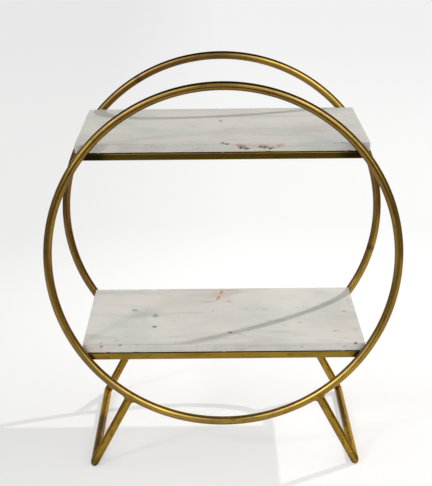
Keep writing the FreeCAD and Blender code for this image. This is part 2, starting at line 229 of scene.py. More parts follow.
lowerMarble = {
    "pale": "D0CCC4", "grey": "BAB7B0", "warm": "D5C6B7", "cool": "BFC2BC",
    "shift": (0.37, 0.21, 0.0), "streakLength": 150, "streakWidth": 50, "streakTurn": 14,
    "sideSawnAndLit": 1.05,
    "marks": [
        ("smudgeAndShadow", (-107, -2, 0), (15, 24, 3), 0, 1.0), ("smudgeAndShadow", (-141, 24, 0), (13, 19, 3), 20, 0.9),
        ("smudgeAndShadow", (-125, 8, 0), (70, 50, 3), 25, 0.4), ("smudgeAndShadow", (-153, -51, 0), (13, 6, 3), 0, 0.55),
        ("smudgeAndShadow", (-77, -27, 0), (10, 5, 3), 0, 0.55), ("smudgeAndShadow", (-16, 18, 0), (11, 9, 3), -30, 0.55),
        ("smudgeAndShadow", (-161, -109, 0), (10, 8, 3), 0, 0.6), ("smudgeAndShadow", (-185, -118, 0), (9, 7, 3), 0, 0.6),
        ("smudgeAndShadow", (-148, -92, 0), (12, 6, 3), 0, 0.5), ("smudgeAndShadow", (-120, -100, 0), (10, 6, 3), 0, 0.4),
        ("smudgeAndShadow", (119, -38, 0), (10, 9, 3), 0, 0.55),
        ("smudgeAndShadow", (65, 24, 0), (26, 7, 3), -45, 0.5), ("smudgeAndShadow", (95, -49, 0), (32, 7, 3), -40, 0.45),
        ("smudgeAndShadow", (24, -86, 0), (30, 7, 3), -28, 0.5), ("smudgeAndShadow", (71, -29, 0), (13, 8, 3), 10, 0.55),
        ("rust", (-2, 106, 0), (8, 34, 3), -6, 1.0), ("rust", (-7, 80, 0), (8, 34, 3), -16, 1.0),
        ("rust", (-4, 95, 0), (44, 72, 3), -8, 0.36), ("rust", (-23, 60, 0), (38, 8, 3), 12, 0.65),
        ("rust", (12, 116, 0), (54, 16, 3), 0, 0.5), ("rust", (10, 62, 0), (16, 12, 3), 0, 0.6),
        ("rust", (182, -10, 0), (70, 190, 3), 0, 0.12),
        ("rust", (193, 11, 0), (14, 7, 3), 0, 0.6), ("rust", (173, -76, 0), (24, 6, 3), 0, 0.6),
        ("rust", (202, -73, 0), (16, 22, 6), 0, 0.35), ("rust", (204, 60, 0), (10, 60, 5), 0, 0.35),
        ("rust", (117, -126.5, 5.9), (5, 5, 3), 0, 0.9), ("rust", (-131, -124, 0.4), (7, 6, 2), 0, 0.8),
        ("pit", (-107, -51, 0), (10, 12, 4), 0, 0.9), ("pit", (10, -78, 0), (11, 8, 4), -20, 0.9),
        ("pit", (193, 11, 0), (7, 4, 3), 0, 0.9), ("pit", (171, -76, 0), (12, 3, 3), 0, 0.9),
        ("pit", (197, -125.5, 0.6), (7, 7, 4), 0, 1.0), ("pit", (-183, -126.5, 1.9), (6, 5, 3), 0, 1.0),
        ("pit", (-155, -126, 0.3), (5, 5, 3), 0, 1.0),
    ],
}
markLook = {  # outer colour and heart of each kind of mark, and how far they cover the stone
    "smudgeAndShadow": {"colour": "A9ABA8", "heart": "7E8482", "amount": 0.75},
    "rust": {"colour": "C2A793", "heart": "94694E", "amount": 0.85},
    "pit": {"colour": "8F877E", "heart": "2C2725", "amount": 0.95},
}
markFrom = {"colour": (0.02, 0.4), "heart": (0.3, 0.7)}  # where a mark's colour starts and where it is full
stoneSpec = {  # what both slabs share, sizes in mm
    "streakStops": [(0.3, "grey"), (0.47, "pale"), (0.58, "pale"), (0.74, "warm")],
    "patchSize": 80, "patchFrom": (0.46, 0.68), "patchAmount": 0.8,
    "grainSize": 2.5, "grainTone": (0.955, 1.025), "grainDepth": 0.25, "grainStrength": 0.25,
    # lines left by the saw on the sides, coarser than the real ones so that they show
    "sawSize": (160, 160, 2.2), "sawTone": (0.93, 1.05), "sideFrom": (0.2, 0.9),
    "speckSize": (9, 3.2, 2.6), "speckFrom": (0.7, 0.8), "speckAmount": 0.6,  # drawn out along the slab
    "tearSize": 3.2, "tearPull": (1.8, 1.8, 1.0),
    "roughness": (0.5, 0.62), "refraction": 1.55, "shine": 0.22,
}


def makeMarble(name, look, faceHeight):
    material, tree, shader = newMaterial(name)
    texture = addNode(tree, "ShaderNodeTexCoord")
    place = texture.outputs["Object"]
    streakSizes = (look["streakLength"], look["streakWidth"], look["streakWidth"])
    streak = addNoise(tree, place, streakSizes, detail=5.0, roughness=0.62, distortion=0.9,
                      shift=look["shift"], turn=look["streakTurn"])
    stops = [(at, linear(look[tone])) for at, tone in stoneSpec["streakStops"]]
    colour = addNode(tree, "ShaderNodeValToRGB", {"Fac": streak}, stops=stops).outputs["Color"]
    patch = addNoise(tree, place, stoneSpec["patchSize"], detail=4.0)
    patch = spread(tree, patch, *stoneSpec["patchFrom"], 0.0, stoneSpec["patchAmount"])
    colour = blend(tree, patch, colour, linear(look["cool"]))
    grain = addNoise(tree, place, stoneSpec["grainSize"])
    colour = tinted(tree, colour, spread(tree, grain, *mostOfNoise, *stoneSpec["grainTone"]))
    saw = addNoise(tree, place, stoneSpec["sawSize"])
    colour = tinted(tree, colour, spread(tree, saw, *mostOfNoise, *stoneSpec["sawTone"]))
    # sides paler than the top: partly sawn stone, partly painted light on the upright faces
    facing = addNode(tree, "ShaderNodeSeparateXYZ", {"Vector": texture.outputs["Normal"]}).outputs["Z"]
    level = addNode(tree, "ShaderNodeMath", {0: facing}, operation="ABSOLUTE").outputs[0]
    colour = tinted(tree, colour, spread(tree, level, *stoneSpec["sideFrom"], look["sideSawnAndLit"], 1.0))
    speck = addNoise(tree, place, stoneSpec["speckSize"], detail=1.0, shift=look["shift"])
    speck = spread(tree, speck, *stoneSpec["speckFrom"], 0.0, stoneSpec["speckAmount"])
    colour = blend(tree, speck, colour, linear(markLook["smudgeAndShadow"]["heart"]))
    # placed marks: a soft round spot, drawn out to size and broken up by noise
    tear = addNoise(tree, place, stoneSpec["tearSize"], detail=4.0, roughness=0.6, output="Color")
    pull = addNode(tree, "ShaderNodeVectorMath", {
        0: tear, 1: (0.5, 0.5, 0.5)}, operation="SUBTRACT").outputs[0]
    masks = {}
    for kind, middle, size, turn, strength in look["marks"]:
        spot = addNode(tree, "ShaderNodeMapping", {
            "Vector": place, "Location": (middle[0] * mm, middle[1] * mm, faceHeight - middle[2] * mm),
            "Rotation": (0, 0, math.radians(turn)),
            "Scale": [side * 0.5 * mm for side in size]}, vector_type="TEXTURE").outputs["Vector"]
        torn = addNode(tree, "ShaderNodeVectorMath", {
            0: pull, 1: stoneSpec["tearPull"], 2: spot}, operation="MULTIPLY_ADD").outputs[0]
        ball = addNode(tree, "ShaderNodeTexGradient", {"Vector": torn}, gradient_type="SPHERICAL")
        mask = reckon(tree, "MULTIPLY", ball.outputs["Fac"], strength)
        masks[kind] = reckon(tree, "MAXIMUM", masks[kind], mask) if kind in masks else mask
    for kind, mark in markLook.items():
        for shade, (start, full) in markFrom.items():
            amount = spread(tree, masks[kind], start, full, 0.0, mark["amount"])
            colour = blend(tree, amount, colour, linear(mark[shade]))
    hollow = reckon(tree, "SUBTRACT", grain, masks["pit"])
    bump = addNode(tree, "ShaderNodeBump", {
        "Strength": stoneSpec["grainStrength"], "Distance": stoneSpec["grainDepth"] * mm, "Height": hollow})
    plug(tree, shader, {
        "Base Color": colour, "Roughness": spread(tree, streak, *mostOfNoise, *stoneSpec["roughness"]),
        "IOR": stoneSpec["refraction"], "Specular IOR Level": stoneSpec["shine"],
        "Normal": bump.outputs["Normal"]})
    return material


# Clear silicone: cast bumper, milky at the edge, soft shine
clearSilicone = {"tint": "D8D8D0", "milky": "C4C4BA", "cloudSize": 3, "roughness": (0.25, 0.4),
                 "refraction": 1.41, "clearness": 0.7}  # mm


def makeSilicone(name, look):
    material, tree, shader = newMaterial(name)
    place = addNode(tree, "ShaderNodeTexCoord").outputs["Object"]
    cloud = addNoise(tree, place, look["cloudSize"])
    plug(tree, shader, {
        "Base Color": blend(tree, cloud, linear(look["tint"]), linear(look["milky"])),
        "Roughness": spread(tree, cloud, 0.0, 1.0, *look["roughness"]),
        "IOR": look["refraction"], "Transmission Weight": look["clearness"]})
    return material


tubeFinish = makeBrass("antique_brass_tube", tubeBrass)
legFinish = makeBrass("antique_brass_leg", legBrass)
runnerFinish = makeBrass("antique_brass_runner", runnerBrass)
railFinish = makeBrass("antique_brass_rail", railBrass)
weldFinish = makeWeld("ground_weld_brass", weldBrass)
bumperFinish = makeSilicone("clear_silicone", clearSilicone)
print("metal and silicone finishes made")


def boxOf(node):
    low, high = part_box(node)
    return Vector(low), Vector(high)


def linkMesh(name, mesh, material):
    data = bpy.data.meshes.new(name)
    mesh.to_mesh(data)
    mesh.free()
    data.materials.append(material)
    thing = bpy.data.objects.new(name, data)
    scene.collection.objects.link(thing)
    return thing


def keepPiece(name, mesh, material, body, node, sharp=40, flatFaces=False):
    piece = linkMesh(name, mesh, material)
    piece.data.shade_smooth()
    piece.data.set_sharp_from_angle(angle=math.radians(sharp))
    if flatFaces:  # the shading bends in the rounded edges alone
        piece.modifiers.new("flat_faces", "WEIGHTED_NORMAL").keep_sharp = True
    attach(piece, body)
    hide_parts(node)
    return piece


def roundEdges(mesh, edges, radius, segments):
    bmesh.ops.bevel(mesh, geom=edges, offset=radius * mm, offset_type="OFFSET", segments=segments,
                    profile=0.5, affect="EDGES", material=-1)


# Where the hoops and tubes lie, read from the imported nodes
hoops = {}
for row in ("front", "rear"):
    low, high = boxOf(row + "_hoop")
    thick = (high.y - low.y) / 2
    hoops[row] = {"centre": (low + high) / 2, "tube": thick, "bend": (high.z - low.z) / 2 - thick}
runners = {}
for side in ("left", "right"):
    low, high = boxOf(side + "_floor_runner")
    runners[side] = (low + high) / 2
legSpec = {
    "hoopAngle": 33.4,  # degrees from the hoop's lowest point
    "sides": 48, "cuts": 24, "seam": 0.25, "stainAndShade": 22,  # mm
    "grainStart": 3, "grainStep": 0.9,  # m, each leg takes its own stretch of the pattern
}
runnerSpec = {
    "grainStart": {"left": 9.3, "right": 11.1},
    # brown stretches, partly tarnish and partly painted dark reflection: from and to along Y in mm, how
    # brown, and how far it keeps to the inner side
    "toningAndShade": {"left": [(-150, 27, 0.98, 0.0), (79, 98, 0.9, 0.0), (124, 150, 0.98, 0.0)],
               "right": [(-45, 150, 0.98, 1.0)]},
    "fade": 14,
}


def legEnds(side, row):
    hoop, across = hoops[row], -1 if side == "left" else 1
    angle = math.radians(legSpec["hoopAngle"])
    top = hoop["centre"] + hoop["bend"] * Vector((across * math.sin(angle), 0, -math.cos(angle)))
    foot = Vector((runners[side].x, hoop["centre"].y, runners[side].z))
    return foot, top


corners = [(side, row) for side in ("left", "right") for row in ("front", "rear")]
jointPoints = [point for corner in corners for point in legEnds(*corner)]
for shelf in ("upper", "lower"):
    for row in ("front", "rear"):
        low, high = boxOf(f"{shelf}_{row}_rail")
        middle = (low + high) / 2
        jointPoints += [Vector((x, middle.y, middle.z)) for x in (low.x, high.x)]


def clamp(value):
    return min(1.0, max(0.0, value))


def markBrass(mesh, straighten, stainAndShadeReach, stainAndShadeDepth=1.0, toningAndShade=None, paintedLightAt=None):
    # the brushing's way along the tube, brown beside the welds that is partly tint and partly painted shade,
    # and the light and shade painted on the hoops
    along = mesh.loops.layers.float_vector.new("tubePlace")
    tint = mesh.loops.layers.float.new("jointShade")
    paintedLight = mesh.loops.layers.float.new("paintedLight") if paintedLightAt else None
    for face in mesh.faces:
        middle = face.calc_center_median()
        for loop in face.loops:
            point = loop.vert.co
            loop[along] = straighten(point, middle)
            # the joint mask, partly tint by the welds and partly painted shade where the parts meet
            nearest = min((point - joint).length for joint in jointPoints)
            near = min(1.0, stainAndShadeDepth * max(0.0, 1 - nearest / (stainAndShadeReach * mm)))
            loop[tint] = max(near, toningAndShade(point) if toningAndShade else 0.0)
            if paintedLightAt:
                loop[paintedLight] = paintedLightAt(point)


hoopSpec = {  # turns in degrees from the top, lengths in mm
    "sides": 48, "bendSteps": 360, "stainAndShade": 10,
    "seamTurn": {"front": 155, "rear": -31},  # butt seam
    "spots": {"front": [], "rear": [-31, 105]}, "spotReach": 10,  # brown spots
    # turn, and how much paler the finish is painted there: painted highlight where the number is above
    # nought, painted shade where below
    "paintedLightAt": {"front": [(0, -0.13), (60, 0.02), (130, 0.34), (165, 0.22), (190, 0.34), (240, 0.08),
                      (300, 0.03), (345, -0.2)],
            "rear": [(0, -0.14), (32, 0.55), (50, 0.46), (90, -0.16), (105, 0.25), (180, 0.02),
                     (270, -0.3), (290, -0.1), (315, -0.34), (345, -0.37)]},
}


def bendHoop(row):
    hoop = hoops[row]
    centre, bend, tube = hoop["centre"], hoop["bend"], hoop["tube"]
    mesh = bmesh.new()
    stand = Matrix.Translation(centre + Vector((0, 0, bend))) @ Matrix.Rotation(math.pi / 2, 4, "Y")
    section = bmesh.ops.create_circle(mesh, segments=hoopSpec["sides"], radius=tube, matrix=stand)["verts"]
    bmesh.ops.spin(mesh, geom=section + mesh.edges[:], cent=centre, axis=(0, 1, 0), angle=fullTurn,
                   steps=hoopSpec["bendSteps"], use_merge=True)
    bmesh.ops.recalc_face_normals(mesh, faces=mesh.faces)
    seam = math.radians(hoopSpec["seamTurn"][row])
    spots = [math.radians(spot) for spot in hoopSpec["spots"][row]]
    stops = hoopSpec["paintedLightAt"][row]

    def fromTop(point):
        return math.atan2(point.x - centre.x, point.z - centre.z)

    def straighten(point, middle):
        turn, faceTurn = [(fromTop(p) - seam) % fullTurn for p in (point, middle)]
        turn += fullTurn * round((faceTurn - turn) / fullTurn)  # a face stays on one side of the seam
        out = math.hypot(point.x - centre.x, point.z - centre.z) - bend
        return Vector((turn * bend, point.y - centre.y, out))

    def toningAndShade(point):
        away = min((abs(math.remainder(fromTop(point) - spot, fullTurn)) for spot in spots), default=math.pi)
        return max(0.0, 1 - away * bend / (hoopSpec["spotReach"] * mm))

    # painted highlight and shade by turn round the hoop
    def paintedLightAt(point):
        turn = math.degrees(fromTop(point)) % 360
        for (start, first), (end, last) in zip(stops, stops[1:] + [(360, stops[0][1])]):
            if turn <= end:
                return first + (last - first) * (turn - start) / (end - start)

    markBrass(mesh, straighten, hoopSpec["stainAndShade"], toningAndShade=toningAndShade, paintedLightAt=paintedLightAt)
    return keepPiece(row + "_hoop_bent_tube", mesh, tubeFinish, "frame", row + "_hoop")


for row in hoops:
    bendHoop(row)
print("hoops bent")


def hoopGap(point, hoop):  # distance from the outside of the hoop's tube
    off = point - hoop["centre"]
    return math.hypot(math.hypot(off.x, off.z) - hoop["bend"], off.y) - hoop["tube"]


def slideToHoop(point, away, hoop):  # moves a point inside the hoop along away until it lies on the tube
    near, far = 0.0, 3 * hoop["tube"]
    for halving in range(40):
        half = (near + far) / 2
        near, far = (half, far) if hoopGap(point + away * half, hoop) < 0 else (near, half)
    return point + away * near


def edgesAlong(mesh, direction):
    return [e for e in mesh.edges if abs((e.verts[1].co - e.verts[0].co).normalized().dot(direction)) > 0.99]


def roundBar(mesh, start, end, radius, cuts):  # a closed bar from start to end, cut along its length
    run = end - start
    lay = Matrix.Translation((start + end) / 2) @ run.to_track_quat("Z", "Y").to_matrix().to_4x4()
    bmesh.ops.create_cone(mesh, cap_ends=True, segments=legSpec["sides"], radius1=radius, radius2=radius,
                          depth=run.length, matrix=lay)
    bmesh.ops.subdivide_edges(mesh, edges=edgesAlong(mesh, run.normalized()), cuts=cuts, use_grid_fill=True)
    return lay


seamSegments = 2


def mitreCut(mesh, corner, keepSide, seam):  # saws the end off, closes it and breaks the sharp edge
    cut = bmesh.ops.bisect_plane(mesh, geom=mesh.verts[:] + mesh.edges[:] + mesh.faces[:], dist=tiny,
                                 plane_co=corner, plane_no=keepSide, clear_inner=True)["geom_cut"]
    rim = [e for e in cut if isinstance(e, bmesh.types.BMEdge)]
    bmesh.ops.edgeloop_fill(mesh, edges=rim)
    roundEdges(mesh, rim, seam, seamSegments)


def alongBar(lay, grainStart):  # a point's place along and across the bar
    flat = lay.inverted()
    return lambda point, middle: (flat @ point).zxy + Vector((grainStart, 0, 0))


def makeLeg(side, row):
    hoop = hoops[row]
    foot, top = legEnds(side, row)
    upward = (top - foot).normalized()
    inward = Vector((0, -1 if row == "rear" else 1, 0))  # the way the runner goes
    mesh = bmesh.new()
    lay = roundBar(mesh, foot - upward * 2 * hoop["tube"], top, hoop["tube"], legSpec["cuts"])
    ends = [v for v in mesh.verts if (v.co - top).dot(upward) > -tiny]
    for vert in ends:  # the coped end sits on the hoop
        vert.co = slideToHoop(vert.co, -upward, hoop)
    mitreCut(mesh, foot, upward - inward, legSpec["seam"])
    bmesh.ops.recalc_face_normals(mesh, faces=mesh.faces)
    grainStart = legSpec["grainStep"] * corners.index((side, row)) + legSpec["grainStart"]
    markBrass(mesh, alongBar(lay, grainStart), legSpec["stainAndShade"])
    name = f"{side}_{row}_leg"
    return keepPiece(name + "_tube", mesh, legFinish, "frame", name)


def makeRunner(side):
    front, frontTop = legEnds(side, "front")
    rear, rearTop = legEnds(side, "rear")
    tube = hoops["front"]["tube"]
    back = Vector((0, 1, 0))
    mesh = bmesh.new()
    lay = roundBar(mesh, front - back * 2 * tube, rear + back * 2 * tube, tube, 2 * legSpec["cuts"])
    mitreCut(mesh, front, back - (frontTop - front).normalized(), legSpec["seam"])
    mitreCut(mesh, rear, -back - (rearTop - rear).normalized(), legSpec["seam"])
    bmesh.ops.recalc_face_normals(mesh, faces=mesh.faces)
    outward = -1 if side == "left" else 1

    # brown stretches along the runner: partly tarnish, partly painted dark reflection kept to its inner side
    def toningAndShade(point):
        out = outward * (point.x - front.x) / tube
        brown = 0.0
        for start, end, depth, lean in runnerSpec["toningAndShade"][side]:
            inside = min(point.y / mm - start, end - point.y / mm) / runnerSpec["fade"]
            brown = max(brown, depth * (1 - lean * clamp(0.5 + out)) * clamp(inside))
        return brown

    markBrass(mesh, alongBar(lay, runnerSpec["grainStart"][side]), legSpec["stainAndShade"], toningAndShade=toningAndShade)
    name = side + "_floor_runner"
    return keepPiece(name + "_tube", mesh, runnerFinish, "frame", name)


for corner in corners:
    makeLeg(*corner)
for side in runners:
    makeRunner(side)
print("legs and floor runners cut and mitred")

# Fillet weld round the top of a leg, ground smooth: a ring laid from the leg to the hoop
legWeld = {
    "reach": 4.2, "proud": 0.12, "belly": 0.35, "root": 0.8,  # mm
    "hollow": 0.34, "rootShare": 0.6,  # how far the face dips, and where the back is held
    "wave": 0.16, "waveSize": 1.3, "waveStep": 3.1,  # uneven reach, another for each leg
    "pinch": 0.7, "pinchPower": 8,  # the bead thins where leg and hoop run level
    "steps": 72, "sides": 8, "lookAside": 0.03,
}


def legWeldRing(mesh, side, row, seed):
    hoop = hoops[row]
    foot, top = legEnds(side, row)
    down = (foot - top).normalized()
    back = Vector((0, 1, 0))
    across = back.cross(down)
    ring = bmesh.new()
    # the ring starts as a small spun hoop; each point is then laid on the joint by its turn and its
    # place in the section
    section = bmesh.ops.create_circle(ring, segments=legWeld["sides"], radius=0.2, matrix=Matrix.Translation(
        (1, 0, 0)) @ Matrix.Rotation(math.pi / 2, 4, "X"))["verts"]
    bmesh.ops.spin(ring, geom=section + ring.edges[:], cent=(0, 0, 0), axis=(0, 0, 1), angle=fullTurn,
                   steps=legWeld["steps"], use_merge=True)
    half = legWeld["sides"] // 2

    def jointPoint(turn):
        out = across * math.cos(turn) + back * math.sin(turn)
        return slideToHoop(top + out * hoop["tube"], down, hoop), out

    def onHoop(point):
        off = point - hoop["centre"]
        radial = Vector((off.x, 0, off.z)).normalized() * hoop["bend"]
        skin = (off - radial).normalized()
        return hoop["centre"] + radial + skin * hoop["tube"], skin

    for vert in ring.verts:
        turn = math.atan2(vert.co.y, vert.co.x)
        inSection = math.atan2(vert.co.z, math.hypot(vert.co.x, vert.co.y) - 1)
        at = round(inSection / (math.pi / half)) % legWeld["sides"]
        joint, out = jointPoint(turn)
        ahead, behind = [jointPoint(turn + step)[0] for step in (legWeld["lookAside"], -legWeld["lookAside"])]
        skin = onHoop(joint)[1]
        sideways = (ahead - behind).normalized().cross(skin).normalized()
        if sideways.dot(out - down) < 0:
            sideways = -sideways
        onRing = Vector((math.cos(turn), math.sin(turn), 0)) * legWeld["waveSize"]
        wave = noise.noise(onRing + Vector((0, 0, seed * legWeld["waveStep"])))
        pinch = 1 - legWeld["pinch"] * abs(math.sin(turn)) ** legWeld["pinchPower"]
        reach = legWeld["reach"] * mm * (1 + legWeld["wave"] * wave) * pinch
        legToe = joint + down * reach + out * legWeld["proud"] * mm
        hoopToe, hoopSkin = onHoop(joint + sideways * reach)
        hoopToe = hoopToe + hoopSkin * legWeld["proud"] * mm
        bisector = (out + skin).normalized()
        belly = joint.lerp((legToe + hoopToe) / 2, legWeld["hollow"])
        belly += bisector * legWeld["belly"] * mm * pinch
        root = joint - bisector * legWeld["root"] * mm
        if at <= half:  # the face, a curve from toe to toe
            t = at / half
            vert.co = legToe * (1 - t) ** 2 + belly * 2 * t * (1 - t) + hoopToe * t ** 2
        else:  # the back, hidden in the joint
            hidden = (hoopToe.lerp(root, legWeld["rootShare"]), root, legToe.lerp(root, legWeld["rootShare"]))
            vert.co = hidden[at - half - 1]
    bmesh.ops.recalc_face_normals(ring, faces=ring.faces)
    placed = bpy.data.meshes.new("ring")
    ring.to_mesh(placed)
    ring.free()
    mesh.from_mesh(placed)
    bpy.data.meshes.remove(placed)


mesh = bmesh.new()
for seed, corner in enumerate(corners):
    legWeldRing(mesh, *corner, seed)
keepPiece("leg_weld_fillets", mesh, weldFinish, "frame", "leg_weld_beads", sharp=70)
for shelf in ("upper", "lower"):  # the flare welds behind the hoops keep their solid shape
    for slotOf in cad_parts[shelf + "_rail_weld_beads"].material_slots:
        slotOf.material = weldFinish
print("welds laid")

railSpec = {
    "cornerRadius": 1.2, "cornerSegments": 4, "cuts": 40, "seam": 0.2,  # mm
    # the brown at the rail ends: partly tint by the welds, partly painted shade beside the hoops, furthest on
    # the upper shelf
    "stainAndShade": {"upper": 58, "lower": 26}, "stainAndShadeDepth": 2.1,
    "grainStart": 20, "grainStep": 1.7,  # m, each rail takes its own stretch of the pattern
}


def makeRail(shelf, place, index):
    name = f"{shelf}_{place}_rail"
    low, high = boxOf(name)
    middle, size = (low + high) / 2, high - low
    long = 0 if size.x > size.y else 1
    along = Vector((1, 0, 0)) if long == 0 else Vector((0, 1, 0))
    across = Vector((0, 1, 0)) if long == 0 else Vector((1, 0, 0))
    mesh = bmesh.new()
    bmesh.ops.create_cube(mesh, size=1, matrix=Matrix.Translation(middle) @ Matrix.Diagonal(size.to_4d()))
    roundEdges(mesh, edgesAlong(mesh, along), railSpec["cornerRadius"], railSpec["cornerSegments"])
    bmesh.ops.subdivide_edges(mesh, edges=edgesAlong(mesh, along), cuts=railSpec["cuts"], use_grid_fill=True)
    outer = 1 if middle[1 - long] > 0 else -1  # the side that faces out of the shelf
    for end in (-1, 1):
        tip = middle + along * end * size[long] / 2 + across * outer * size[1 - long] / 2
        mitreCut(mesh, tip, across * outer - along * end, railSpec["seam"])
    bmesh.ops.recalc_face_normals(mesh, faces=mesh.faces)
    grainStart = railSpec["grainStart"] + railSpec["grainStep"] * index

    def straighten(point, centre):
        off = point - middle
        return Vector((off[long] + grainStart, off[1 - long], off.z))

    markBrass(mesh, straighten, railSpec["stainAndShade"][shelf], railSpec["stainAndShadeDepth"])
    return keepPiece(name + "_square_tube", mesh, railFinish, "frame", name, flatFaces=True)


rails = [(shelf, place) for shelf in ("upper", "lower") for place in ("front", "rear", "left", "right")]
for index, (shelf, place) in enumerate(rails):
    makeRail(shelf, place, index)
print("shelf rails mitred")

# Sawn slab with rubbed arrises: corners eased, edges a little uneven and nicked
slabSpec = {  # mm
    "cornerRadius": 4, "cornerSegments": 6, "arris": 0.8, "arrisSegments": 3, "grid": 3,
    "uneven": 0.12, "unevenWaves": 90,  # waves in a metre
    "rubReach": 1.2, "sideReach": 2, "upPull": 20,
    "nicks": 16, "nickSize": (2.5, 6), "nickDepth": (0.3, 0.9), "topShare": 0.7,
    "seed": {"upper": 5, "lower": 12},
}


def drawNicks(shelf, low, high):  # nicks round the arrises: place, reach and depth
    size = high - low
    draw = random.Random(slabSpec["seed"][shelf])
    nicks = []
    for n in range(slabSpec["nicks"]):
        u = draw.random() * 2 * (size.x + size.y)
        z = high.z if draw.random() < slabSpec["topShare"] else low.z
        if u < 2 * size.x:
            spot = Vector((low.x + u % size.x, low.y if u < size.x else high.y, z))
        else:
            u -= 2 * size.x
            spot = Vector((low.x if u < size.y else high.x, low.y + u % size.y, z))
        reach = draw.uniform(*slabSpec["nickSize"]) * mm
        nicks.append((spot, reach, draw.uniform(*slabSpec["nickDepth"]) * mm))
    return nicks


def makeSlab(shelf, material):
    name = shelf + "_marble_slab"
    low, high = boxOf(name)
    middle, size = (low + high) / 2, high - low
    mesh = bmesh.new()
    across, deep = round(size.x / (slabSpec["grid"] * mm)), round(size.y / (slabSpec["grid"] * mm))
    bmesh.ops.create_grid(mesh, x_segments=across, y_segments=deep, size=0.5, matrix=Matrix.Translation(
        (middle.x, middle.y, low.z)) @ Matrix.Diagonal((size.x, size.y, 1, 1)))
    raised = bmesh.ops.extrude_face_region(mesh, geom=mesh.faces[:])["geom"]
    top = [v for v in raised if isinstance(v, bmesh.types.BMVert)]
    bmesh.ops.translate(mesh, vec=(0, 0, size.z), verts=top)
    bmesh.ops.recalc_face_normals(mesh, faces=mesh.faces)
    upright = [e for e in mesh.edges if abs(e.verts[0].co.z - e.verts[1].co.z) > size.z / 2
               and abs(abs(e.verts[0].co.x - middle.x) - size.x / 2) < tiny
               and abs(abs(e.verts[0].co.y - middle.y) - size.y / 2) < tiny]
    roundEdges(mesh, upright, slabSpec["cornerRadius"], slabSpec["cornerSegments"])
    arrises = [e for e in mesh.edges if len(e.link_faces) == 2
               and abs(e.verts[0].co.z - e.verts[1].co.z) < tiny and e.calc_face_angle() > 1]
    roundEdges(mesh, arrises, slabSpec["arris"], slabSpec["arrisSegments"])
    # rub the arris unevenly and knock a few nicks out of it, always into the stone
    nicks = drawNicks(shelf, low, high)
    rubReach, sideReach = slabSpec["rubReach"] * mm, slabSpec["sideReach"] * mm
    for vert in mesh.verts:
        edgeways = min(vert.co.x - low.x, high.x - vert.co.x, vert.co.y - low.y, high.y - vert.co.y)
        upways = min(vert.co.z - low.z, high.z - vert.co.z)
        if max(edgeways, upways) > rubReach:
            continue
        inward = middle - vert.co
        inward = Vector((inward.x if abs(inward.x) > size.x / 2 - sideReach else 0,
                         inward.y if abs(inward.y) > size.y / 2 - sideReach else 0,
                         inward.z * slabSpec["upPull"])).normalized()
        depth = slabSpec["uneven"] * mm * (0.5 + 0.5 * noise.noise(vert.co * slabSpec["unevenWaves"]))
        for spot, reach, deepest in nicks:
            away = (vert.co - spot).length / reach
            if away < 1:
                depth = max(depth, deepest * (1 - away * away))
        vert.co += inward * depth
    body = shelf + "_shelf"
    return keepPiece(name + "_stone", mesh, material, body, name, sharp=30, flatFaces=True)


for shelf, look in (("upper", upperMarble), ("lower", lowerMarble)):
    faceHeight = boxOf(shelf + "_marble_slab")[1].z
    makeSlab(shelf, makeMarble(f"honed_marble_{shelf}", look, faceHeight))
print("marble slabs cut")

padSpec = {"sides": 32, "round": 0.35, "roundSegments": 3}  # mm


def makePads(shelf):
    name = shelf + "_slab_pads"
    low, high = boxOf(name)
    middle, thick = (low + high) / 2, high.z - low.z
    rail = boxOf(f"{shelf}_front_rail")
    radius = (rail[0].y + rail[1].y) / 2 - low.y  # the pads sit on the rail's middle line
    mesh = bmesh.new()
    for x in (low.x + radius, middle.x, high.x - radius):
        for y in (low.y + radius, high.y - radius):
            bmesh.ops.create_cone(mesh, cap_ends=True, segments=padSpec["sides"], depth=thick, radius1=radius,
                                  radius2=radius, matrix=Matrix.Translation((x, y, middle.z)))
    rims = [e for e in mesh.edges if abs(e.verts[0].co.z - e.verts[1].co.z) < tiny]
    roundEdges(mesh, rims, padSpec["round"], padSpec["roundSegments"])
    return keepPiece(name + "_bumpers", mesh, bumperFinish, "frame", name)


for shelf in ("upper", "lower"):
    makePads(shelf)
print("bumpers set")

# Painted studio floor: matt white, with the faint unevenness of a rolled coat
floorLook = {
    "pale": "FAF9F6", "worn": "F6F5F1", "patch": 450, "roughness": 0.7,  # mm
    "size": 40, "ownWhite": (0.48, 0.85), "ownReach": (0.45, 1.2),  # m
    "leftWhite": 0.9, "grade": (-0.45, 0.05),
    "farFall": 0.91, "fallReach": (0.5, 1.1), "horizon": (6, 15), "horizonWhite": 0.83,
}
floorPaint, tree, shader = newMaterial("matt_white_paint")
place = addNode(tree, "ShaderNodeTexCoord").outputs["Object"]
patch = addNoise(tree, place, floorLook["patch"], detail=3.0)
plug(tree, shader, {
    "Base Color": blend(tree, patch, linear(floorLook["pale"]), linear(floorLook["worn"])),
    "Roughness": floorLook["roughness"]})
# seen directly, mirrored or through silicone, part of the white is the background's own, so shadows stay pale
rays = addNode(tree, "ShaderNodeLightPath").outputs
seen = reckon(tree, "MAXIMUM", rays["Is Camera Ray"], rays["Is Glossy Ray"])
seen = reckon(tree, "MAXIMUM", seen, rays["Is Transmission Ray"])
away = addNode(tree, "ShaderNodeVectorMath", {0: place}, operation="LENGTH").outputs["Value"]
horizon = spread(tree, away, *floorLook["horizon"])
own = reckon(tree, "MAXIMUM", spread(tree, away, *floorLook["ownReach"], *floorLook["ownWhite"]), horizon)
share = reckon(tree, "MULTIPLY", seen, own)
